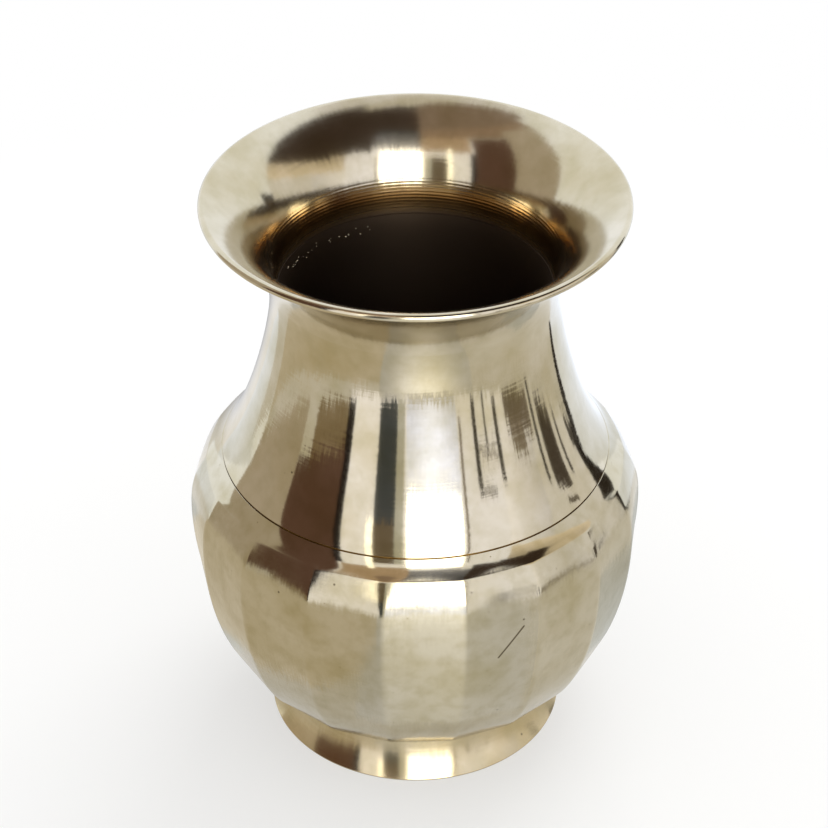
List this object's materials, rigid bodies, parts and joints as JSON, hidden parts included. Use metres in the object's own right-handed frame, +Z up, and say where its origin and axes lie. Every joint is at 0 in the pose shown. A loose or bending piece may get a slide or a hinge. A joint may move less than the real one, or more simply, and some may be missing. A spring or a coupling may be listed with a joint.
{
  "type": "lota",
  "caption": "Footed brass water pot with a flared mouth, a waisted neck, a bowl ground into upright panels and a spreading foot ring, brazed together, for holding and pouring water.",
  "frame": {"origin": "on the pot's upright axis, in the plane that the foot ring stands on", "axes": "+Z up along the axis to the mouth; -Y is the side that the picture shows, with the middle of one panel on it; +X to the viewer's right"},
  "size_m": [0.1054, 0.1038, 0.14],
  "materials": {
    "polished_brass": "turned and buffed, pale yellow metal",
    "ground_brass": "ground flats, satin",
    "foot_brass": "turned and buffed",
    "braze_filler": "golden brown filler, dull"
  },
  "bodies": {
    "root": {"flared_mouth": "polished_brass", "neck_shell": "polished_brass", "faceted_bowl": "ground_brass", "foot_ring": "foot_brass", "neck_braze": "braze_filler", "shoulder_braze": "braze_filler", "foot_braze": "braze_filler"}
  },
  "joints": []
}
